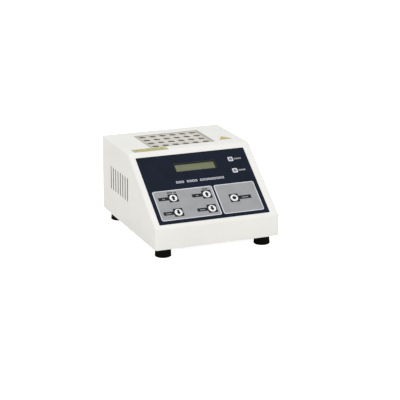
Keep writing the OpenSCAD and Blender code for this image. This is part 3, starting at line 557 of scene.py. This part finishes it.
def plain_bars(shader, x, y):
    """Three plain upright bars side by side."""
    bars = shader.calc(shader.calc(x, 1.3 * MM, "PINGPONG"), 0.4 * MM, "LESS_THAN")
    inside = shader.calc(shader.within(x, -3.2 * MM, 3.2 * MM), shader.within(y, -3.0 * MM, 1.6 * MM),
                         "MULTIPLY")
    return shader.calc(bars, inside, "MULTIPLY")


def strip_label(name):
    return label_film(name, tint(206, 198, 108), tint(180, 174, 112), tint(112, 108, 76),
                      *footprint("caution_label"), text_rows)


def triangle_label(name):
    low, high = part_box("hot_surface_label")
    reach = (high.y - low.y) / 3
    centre = Vector(((low.x + high.x) / 2, low.y + reach, high.z))
    return label_film(name, tint(214, 184, 92), tint(196, 164, 74), tint(104, 88, 48), centre,
                      ((30, reach), (150, reach), (270, reach)), plain_bars)


def fuse_glass(name):
    """Glass tube between nickel end caps, told apart by their distance along the fuse."""
    shader = Shader(name)
    low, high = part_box("fuse_link")
    shader.base(tint(206, 206, 200), tint(180, 180, 174), 3 * MM, (0.12, 0.25), 0.3 * MM, 0.002 * MM)
    along = shader.node("ShaderNodeSeparateXYZ", {0: shader.place}).outputs[1]
    cap = 5.5 * MM
    inner = shader.within(along, low.y + cap, high.y - cap)
    shader.set("Metallic", shader.span(inner, 1.0, 0.0))
    shader.set("Transmission Weight", shader.span(inner, 0.0, 0.85))
    return shader.material


def floor_paper(name):
    """Pale matt studio paper, lit from behind as far as the camera can tell."""
    shader = Shader(name)
    shader.base(tint(250, 250, 250), tint(247, 247, 247), 0.5, (0.85, 0.95), 1 * MM, 0.005 * MM, gloss=0.1)
    seen = shader.node("ShaderNodeLightPath").outputs["Is Camera Ray"]
    shader.set("Base Color", shader.blend(seen, tint(232, 231, 229), shader.colour))
    shader.set("Emission Color", tint(255, 255, 255))
    shader.set("Emission Strength", shader.span(seen, 0.0, 0.85))
    return shader.material


BLACK = (tint(30, 30, 31), tint(22, 22, 23))
FINISHES = {
    "white_coat": white_coat("white_coat"),
    "plated_sheet": plated_sheet("plated_sheet"),
    "bay_sheet": bay_sheet("bay_sheet"),
    "black_rubber": black_rubber("black_rubber"),
    "screw_steel": metal("screw_steel", tint(205, 204, 200), tint(178, 178, 176), (0.22, 0.36)),
    "navy_film": navy_film("navy_film"),
    "display_black": moulded("display_black", *BLACK, (0.5, 0.62)),
    "display_green": display_green("display_green"),
    "board_green": board_green("board_green"),
    "brass": metal("brass", tint(214, 180, 104), tint(188, 152, 82), (0.2, 0.34)),
    "grey_cable": ribbed("grey_cable", tint(168, 168, 170), tint(120, 120, 124), 1.27 * MM, "X", (0.5, 0.6)),
    "key_white": moulded("key_white", tint(240, 240, 240), tint(230, 230, 229), (0.36, 0.46), 0.3 * MM,
                         0.006 * MM),
    "lamp_lens": lamp_lens("lamp_lens"),
    "block_aluminium": block_aluminium("block_aluminium"),
    "heater_silicone": heater_silicone("heater_silicone"),
    "ceramic": moulded("ceramic", tint(232, 228, 216), tint(218, 212, 196), (0.55, 0.7), 0.8 * MM,
                       0.02 * MM),
    "mineral_wool": mineral_wool("mineral_wool"),
    "black_plastic": moulded("black_plastic", *BLACK, (0.38, 0.52)),
    "core_steel": ribbed("core_steel", tint(120, 120, 124), tint(62, 60, 60), 0.5 * MM, "Y", (0.4, 0.55),
                         0.1 * MM, 0.8),
    "winding_tape": ribbed("winding_tape", tint(222, 176, 74), tint(186, 138, 48), 3 * MM, "Z", (0.3, 0.42),
                           0.12 * MM),
    "white_plastic": moulded("white_plastic", tint(232, 232, 228), tint(222, 221, 216), (0.4, 0.52)),
    "wire_brown": moulded("wire_brown", tint(112, 68, 38), tint(92, 54, 30), (0.38, 0.5), 0.8 * MM),
    "wire_red": moulded("wire_red", tint(176, 40, 30), tint(148, 30, 24), (0.42, 0.56), 0.8 * MM),
    "label_yellow": strip_label("label_yellow"),
    "label_ochre": triangle_label("label_ochre"),
    "fuse_glass": fuse_glass("fuse_glass"),
    "ink_grey": ink("ink_grey", tint(160, 160, 162), tint(150, 151, 153)),
    "ink_white": ink("ink_white", tint(226, 228, 234), tint(200, 203, 212)),
    "ink_navy": ink("ink_navy", tint(24, 27, 38), tint(17, 20, 29)),
    "ink_black": ink("ink_black", tint(24, 24, 26), tint(14, 14, 16)),
}


# Enclosure

BALL_STEPS = 48


def profile_centres(low, high):
    """Centres of the folded corners, seen from the side, as (y, z)."""
    up = (SLOPE.to_3x3() @ Vector((0, 1, 0))).normalized()
    fold = SLOPE @ Vector((0, 0, 0))
    centres = [(low.y + EDGE, low.z - EDGE)]
    lower = EDGE * (1 - up.z) / up.y
    upper = (high.z - fold.z - EDGE + EDGE * up.y) / up.z
    for rise in (lower, upper):
        corner = SLOPE @ Vector((0, rise / MM, -EDGE / MM))
        centres.append((corner.y, corner.z))
    centres.append((high.y + 2 * EDGE, high.z - EDGE))
    centres.append((high.y + 2 * EDGE, low.z - EDGE))
    return centres


def wedge(name, radius, low, high):
    """Convex shell over balls of this radius at every corner, with its flat faces merged."""
    steps = BALL_STEPS
    bm = bmesh.new()
    for side in (-1, 1):
        for y, z in profile_centres(low, high):
            centre = Vector((side * (high.x - EDGE), y, z))
            for i in range(steps // 2 + 1):
                tilt = math.pi * i / (steps // 2)
                around = steps if 0 < i < steps // 2 else 1
                for j in range(around):
                    turn = 2 * math.pi * j / steps
                    bm.verts.new(centre + radius * Vector((math.cos(tilt), math.sin(tilt) * math.cos(turn),
                                                           math.sin(tilt) * math.sin(turn))))
    hull = bmesh.ops.convex_hull(bm, input=bm.verts)
    spare = [item for item in hull["geom_interior"] if isinstance(item, bmesh.types.BMVert)]
    spare += [item for item in hull["geom_unused"] if isinstance(item, bmesh.types.BMVert)]
    bmesh.ops.delete(bm, geom=list(set(spare)), context="VERTS")
    bmesh.ops.dissolve_limit(bm, angle_limit=math.radians(0.3), verts=bm.verts, edges=bm.edges)
    return to_object(bm, name)


def rim_outline(width, depth, border):
    """U-shaped outline, open towards +Y: the rim that a plate is screwed to."""
    half = width / 2
    return [(-half, 0), (half, 0), (half, depth), (half - border, depth), (half - border, border),
            (-half + border, border), (-half + border, depth), (-half, depth)]


def cover_holes(low, high):
    """Every hole through the cover, as one set of separate prisms."""
    bm = bmesh.new()
    sideways = Matrix(((0, 0, 1, 0), (1, 0, 0, 0), (0, 1, 0, 0), (0, 0, 0, 1)))
    for i in range(SLOT_COUNT):
        y = high.y - SLOTS_FROM_REAR + (i - (SLOT_COUNT - 1) / 2) * SLOT_PITCH
        outline = rounded_about((y, low.z + SLOTS_ABOVE_BASE), SLOT[1], SLOT[0], SLOT[1] / 2, 10)
        for side in (-1, 1):
            add_prism(bm, outline, side * high.x - 2 * EDGE, side * high.x + 2 * EDGE, sideways)
    block_low, block_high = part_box("heating_block")
    bay = rectangle(block_low.x - BAY_GAP, block_low.y - BAY_GAP, block_high.x + BAY_GAP,
                    block_high.y + BAY_GAP)
    add_prism(bm, bay, high.z - 3 * SHEET, high.z + 3 * SHEET)
    depth = 3 * SHEET / MM
    add_prism(bm, rounded_about(middle("display_bezel"), *DISPLAY_CUT, 0.3, 3), -depth, depth, SLOPE)
    for lamp in ("power_lamp", "heater_lamp"):
        size = span(lamp)[1].x - span(lamp)[0].x + 0.2
        add_prism(bm, rounded_about(middle(lamp), size, size, 0.2, 2), -depth, depth, SLOPE)
    for key in KEYS:
        add_prism(bm, circle(middle(f"key_{key}"), KEY_HOLE), -depth, depth, SLOPE)
    return to_object(bm, "holes")


def build_cover():
    low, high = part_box("cover")
    shell = wedge("enclosure_cover", EDGE, low, high)
    keep = bmesh.new()
    add_prism(keep, rectangle(low.x - EDGE, low.y - EDGE, high.x + EDGE, high.y), low.z, high.z + EDGE)
    combine(shell, to_object(keep, "keep"), "INTERSECT")
    hollow = wedge("hollow", EDGE - SHEET, low, high)
    rims = bmesh.new()
    width = high.x - low.x - 2 * SHEET
    floor_z = low.z + PLATE_UNDER_RIM + 0.2 * MM
    add_prism(rims, rim_outline(width + 2 * EDGE, high.y - low.y - REAR_RECESS - SHEET, RIM + EDGE), floor_z,
              floor_z + SHEET, Matrix.Translation((0, low.y + SHEET - EDGE, 0)))
    upright = Matrix(((1, 0, 0, 0), (0, 0, 1, 0), (0, -1, 0, high.z - SHEET + EDGE), (0, 0, 0, 1)))
    back = high.y - REAR_RECESS
    add_prism(rims, rim_outline(width + 2 * EDGE, high.z - floor_z - SHEET + EDGE - SHEET, RIM + EDGE),
              back - SHEET, back, upright)
    combine(hollow, to_object(rims, "rims"), "DIFFERENCE")
    combine(shell, hollow, "DIFFERENCE")
    combine(shell, cover_holes(low, high), "DIFFERENCE")
    soften(shell, COVER_ROUNDING)
    finish_piece(shell, "enclosure", "white_coat", "cover")


def build_lining():
    """Dark frame inside the display's cut, which hides the edge of the sheet."""
    centre = middle("display_bezel")
    inner = [size - 2 * LINING for size in DISPLAY_CUT]
    outlines = [rounded_about(centre, *DISPLAY_CUT, 0.3, 3), rounded_about(centre, *inner, 0.2, 3)]
    plate("display_lining", outlines, -SHEET / MM, SHEET / MM + FILM, "display_black")


# Printing on the overlay and on the keys

def plate(name, outlines, level, thickness, ink_name, body="enclosure"):
    """Thin flat piece from closed outlines in millimetres, holes included, from level outwards."""
    curve = bpy.data.curves.new(name, "CURVE")
    curve.dimensions = "2D"
    curve.fill_mode = "BOTH"
    curve.extrude = thickness / 2
    for outline in outlines:
        spline = curve.splines.new("POLY")
        spline.points.add(len(outline) - 1)
        for point, (x, y) in zip(spline.points, outline):
            point.co = (x, y, 0, 1)
        spline.use_cyclic_u = True
    holder = bpy.data.objects.new(name + "_outline", curve)
    mesh = bpy.data.meshes.new_from_object(holder)
    bpy.data.objects.remove(holder)
    bm = bmesh.new()
    bm.from_mesh(mesh)
    bmesh.ops.remove_doubles(bm, verts=bm.verts, dist=0.0005)
    bmesh.ops.dissolve_limit(bm, angle_limit=math.radians(0.5), verts=bm.verts, edges=bm.edges)
    place = SLOPE @ Matrix.Translation((0, 0, level + thickness / 2))
    bmesh.ops.transform(bm, matrix=place, verts=bm.verts)
    made = to_object(bm, name)
    finish_piece(made, body, ink_name)
    return made


FILM = span("keypad_overlay")[1].z
LAYER = 0.03
LEFT_PANEL = (-85.7, 13.4, 12.2, 69.2)
RIGHT_PANEL = (15.5, 13.4, 82.6, 69.2)
PANEL_CORNER = 3
OUTLINE = 1.3
SURROUND = 15.4
SURROUND_CORNER = 1.4
TAB = (-24.4, 6.2)
START_TAB = (28.2, 6.8)
TAB_DROP = -0.3
START_DOT = 3.2
TITLE_AT = (-1.7, 82.3)
TITLE_SIZE = (80.5, 3.9)
TITLE_LETTERS = [3, 4, 9]
TITLE_STROKE = 0.75
CAPTION_RISE = 10.4
LAMP_CAPTION_SHIFT = 12


def key_surround(centre, end, height):
    """Rounded square round a key, joined to a tab that reaches sideways to end."""
    half = SURROUND / 2
    corner = SURROUND_CORNER
    low, high = TAB_DROP - height / 2, TAB_DROP + height / 2
    loop = arc((half - corner, half - corner), corner, 0, 90, 5)
    loop += arc((-half + corner, half - corner), corner, 90, 180, 5)
    loop += [(-half, high), (-abs(end), high), (-abs(end), low), (-half, low)]
    loop += arc((-half + corner, -half + corner), corner, 180, 270, 5)
    loop += arc((half - corner, -half + corner), corner, 270, 360, 5)
    if end > 0:
        loop = [(-x, y) for x, y in reversed(loop)]
    return [(centre[0] + x, centre[1] + y) for x, y in loop]


def words(centre, width, height, letters, stroke=0.0):
    """Row of plain blocks in place of a caption; letters counts the blocks of each word. A stroke makes
    frames of that thickness."""
    pitch = width / (sum(letters) + 0.9 * (len(letters) - 1))
    blocks = []
    x = centre[0] - width / 2
    for count in letters:
        for _ in range(count):
            box = (x + 0.11 * pitch, centre[1] - height / 2, x + 0.89 * pitch, centre[1] + height / 2)
            blocks.append(rounded(*box, 0.12 * pitch, 2))
            if stroke:
                blocks.append(rectangle(box[0] + stroke, box[1] + stroke, box[2] - stroke, box[3] - stroke))
            x += pitch
        x += 0.9 * pitch
    return blocks


def arrow(centre, direction):
    """Bold arrow up (1) or down (-1)."""
    points = [(-1.9, -4.3), (1.9, -4.3), (1.9, 0), (3.5, 0), (0, 4.6), (-3.5, 0), (-1.9, 0)]
    placed = [(centre[0] + x, centre[1] + direction * y) for x, y in points]
    return placed if direction > 0 else placed[::-1]


def print_panels():
    for name, box in (("left", LEFT_PANEL), ("right", RIGHT_PANEL)):
        inner = (box[0] + OUTLINE, box[1] + OUTLINE, box[2] - OUTLINE, box[3] - OUTLINE)
        holes = [circle(middle(f"key_{key}"), KEY_HOLE) for key in KEYS
                 if box[0] < middle(f"key_{key}")[0] < box[2]]
        plate(f"panel_print_{name}", [rounded(*inner, PANEL_CORNER - OUTLINE)] + holes, FILM, LAYER,
              "ink_grey")
        plate(f"panel_outline_{name}",
              [rounded(*box, PANEL_CORNER), rounded(*inner, PANEL_CORNER - OUTLINE)], FILM, 1.6 * LAYER,
              "ink_white")


def print_keys():
    for key in KEYS:
        centre = middle(f"key_{key}")
        end, height = START_TAB if key == "start" else TAB
        plate(f"surround_{key}", [key_surround(centre, end, height), circle(centre, KEY_HOLE)],
              FILM + LAYER, LAYER, "ink_navy")
        face = span(f"key_{key}")[1].z
        up = key.endswith("up")
        symbol = circle(centre, START_DOT, 40) if key == "start" else arrow(centre, 1 if up else -1)
        plate(f"symbol_{key}", [symbol], face, LAYER, "ink_black", f"key_{key}_button")
        tab_middle = (centre[0] + (end + math.copysign(SURROUND / 2, end)) / 2, centre[1] - 0.5)
        letters = [5] if key == "start" else ([2] if up else [4])
        plate(f"caption_{key}", words(tab_middle, 2.1 * sum(letters), 1.7, letters),
              FILM + 2 * LAYER, LAYER, "ink_grey")
    for name, width, letters in (("temp", 15, [4, 2]), ("time", 9, [4])):
        x, y = middle(f"key_{name}_up")
        plate(f"caption_{name}", words((x, y + CAPTION_RISE), width, 2.4, letters), FILM + LAYER, LAYER,
              "ink_black")


def print_title():
    """Caption row under the display, and the lamps' frames and captions."""
    plate("caption_title", words(TITLE_AT, *TITLE_SIZE, TITLE_LETTERS, TITLE_STROKE), FILM, LAYER,
          "ink_white")
    for lamp in ("power_lamp", "heater_lamp"):
        low, high = span(lamp)
        centre = middle(lamp)
        side = high.x - low.x
        plate(f"{lamp}_frame", [rounded_about(centre, side + 0.3, side + 0.3, 1.5),
                                rounded_about(centre, side - 2.8, side - 2.8, 1.2)],
              high.z, LAYER, "ink_white")
        caption_at = (centre[0] + LAMP_CAPTION_SHIFT, centre[1])
        plate(f"{lamp}_caption", words(caption_at, 12, 3.0, [5]), FILM, LAYER, "ink_grey")


# Flat faces round one opening, which must keep their triangles
FRAMES = ("display_bezel", "insulation_jacket", "block_tray", "keypad_overlay")

# Width of the rounded edges in millimetres, for each material slot
ROUNDING = {"key_white": 0.12, "navy_film": 0.08, "display_black": 0.12, "display_green": 0.12,
            "label_yellow": 0.05, "label_ochre": 0.05, "block_aluminium": 0.4, "bay_sheet": 0.15,
            "plated_sheet": 0.15, "white_coat": 0.2, "black_plastic": 0.25, "black_rubber": 0.3,
            "mineral_wool": 0.8, "white_plastic": 0.5}
OTHER_ROUNDING = 0.1


def dress_cad_nodes():
    """Gives every CAD node its slot's material and softened edges."""
    for part in RECORD["subparts"]:
        node = frame["nodes"][part["node"]]
        slot = part["material_slot"]
        for index in range(len(node.data.materials)):
            node.data.materials[index] = FINISHES[slot]
        if part["node"] != "cover":
            soften(node, ROUNDING.get(slot, OTHER_ROUNDING) * MM, merge=part["node"] not in FRAMES)


# Studio

FLOOR_RADIUS = 9
AIM = (0, 0, 0.06)
WORLD_LIGHT = 0.82
WORLD_SEEN = 1.0
CAMERA_AT = (-0.83646, -2.05270, 0.72516)
CAMERA_LENS = 131.65
CAMERA_AZIMUTH = -22.63
CAMERA_ELEVATION = 16.95
CAMERA_ROLL = 0.265


def build_floor():
    bm = bmesh.new()
    bmesh.ops.create_circle(bm, cap_ends=True, segments=96, radius=FLOOR_RADIUS)
    floor = to_object(bm, "floor")
    floor.data.materials.append(floor_paper("floor_paper"))


def add_light(name, place, size, power, colour=(1, 1, 1)):
    """Round area light that faces the middle of the object."""
    lamp = bpy.data.lights.new(name, "AREA")
    lamp.shape = "DISK"
    lamp.size = size
    lamp.energy = power
    lamp.color = colour
    holder = bpy.data.objects.new(name, lamp)
    bpy.context.scene.collection.objects.link(holder)
    holder.location = place
    holder.rotation_euler = (Vector(AIM) - Vector(place)).to_track_quat("-Z", "Y").to_euler()


def build_world():
    """White surroundings, a little dimmer as light than they look to the camera."""
    world = bpy.data.worlds.new("studio")
    world.use_nodes = True
    tree = world.node_tree
    strength = tree.nodes.new("ShaderNodeMapRange")
    strength.inputs["To Min"].default_value = WORLD_LIGHT
    strength.inputs["To Max"].default_value = WORLD_SEEN
    tree.links.new(tree.nodes.new("ShaderNodeLightPath").outputs["Is Camera Ray"], strength.inputs["Value"])
    background = tree.nodes["Background"]
    background.inputs["Color"].default_value = (1, 1, 1, 1)
    tree.links.new(strength.outputs["Result"], background.inputs["Strength"])
    bpy.context.scene.world = world


def build_studio():
    build_floor()
    add_light("key_light", (-0.7, -2.2, 0.8), 1.6, 12.5)
    add_light("side_light", (-2.2, 0.3, 0.7), 1.6, 4.5, (1.0, 0.98, 0.95))
    add_light("fill_light", (1.8, -1.2, 1.2), 1.6, 1.5)
    add_light("top_light", (0.2, 0.6, 2.2), 1.8, 7.5, (0.92, 0.96, 1.0))
    build_world()


def build_camera():
    """Camera to the left of the front, looking slightly down."""
    camera = bpy.data.cameras.new("camera")
    camera.sensor_width = 36
    camera.lens = CAMERA_LENS
    camera.clip_start = 0.05
    camera.clip_end = 50
    holder = bpy.data.objects.new("camera", camera)
    bpy.context.scene.collection.objects.link(holder)
    holder.location = CAMERA_AT
    turn = (Matrix.Rotation(math.radians(CAMERA_AZIMUTH), 3, "Z")
            @ Matrix.Rotation(math.radians(90 - CAMERA_ELEVATION), 3, "X")
            @ Matrix.Rotation(math.radians(CAMERA_ROLL), 3, "Z"))
    holder.rotation_euler = turn.to_euler()
    bpy.context.scene.camera = holder


build_cover()
build_lining()
print_panels()
print_keys()
print_title()
dress_cad_nodes()
build_studio()
build_camera()
bpy.context.scene.view_settings.view_transform = "Standard"
